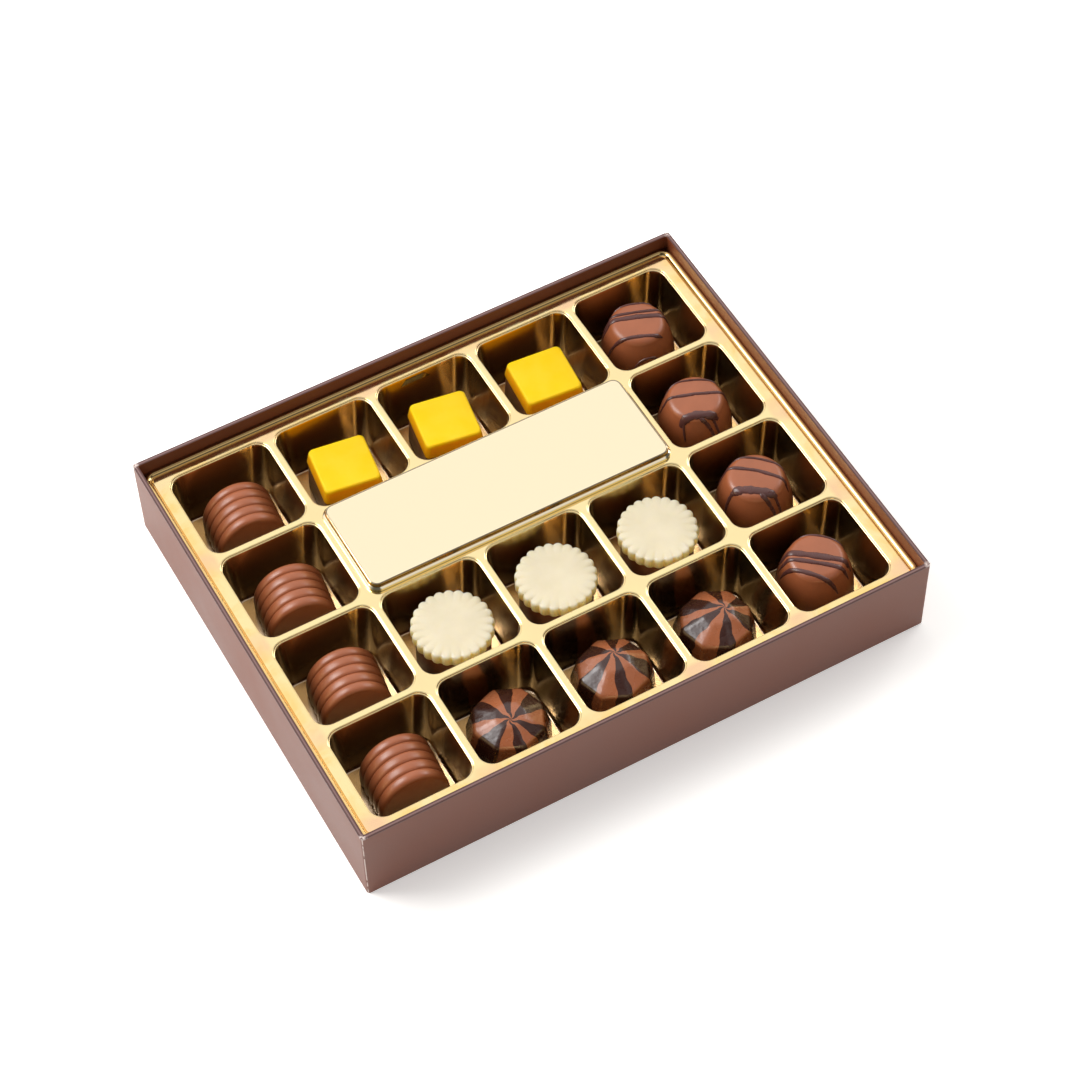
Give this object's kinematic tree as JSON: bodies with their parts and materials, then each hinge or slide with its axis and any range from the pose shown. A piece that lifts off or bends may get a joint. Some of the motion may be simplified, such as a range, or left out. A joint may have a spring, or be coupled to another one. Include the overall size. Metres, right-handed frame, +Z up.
{
  "type": "box of chocolates",
  "caption": "Open rectangular tray of brown board with a gold formed insert, a raised blank plaque and assorted chocolates, one in each square pit.",
  "frame": {"origin": "centre of the footprint, on the surface that the box stands on", "axes": "+X along the long side, +Y towards the back, +Z up"},
  "size_m": [0.2, 0.1608, 0.0315],
  "materials": {
    "brown_board": "satin paper wrap",
    "gold_film": "mirror-like metallised film",
    "milk_chocolate": "satin",
    "yellow_chocolate": "satin",
    "white_chocolate": "satin",
    "dark_chocolate": "glossy"
  },
  "bodies": {
    "root": {"box_tray": "brown_board", "insert": "gold_film", "ribbed_log_1": "milk_chocolate", "ribbed_log_2": "milk_chocolate", "ribbed_log_3": "milk_chocolate", "ribbed_log_4": "milk_chocolate", "yellow_block_1": "yellow_chocolate", "yellow_block_2": "yellow_chocolate", "yellow_block_3": "yellow_chocolate", "scalloped_disc_1": "white_chocolate", "scalloped_disc_2": "white_chocolate", "scalloped_disc_3": "white_chocolate", "swirl_dome_1": "dark_chocolate", "swirl_dome_2": "dark_chocolate", "swirl_dome_3": "dark_chocolate", "striped_dome_1": "milk_chocolate", "striped_dome_2": "milk_chocolate", "striped_dome_3": "milk_chocolate", "striped_dome_4": "milk_chocolate"}
  },
  "joints": []
}
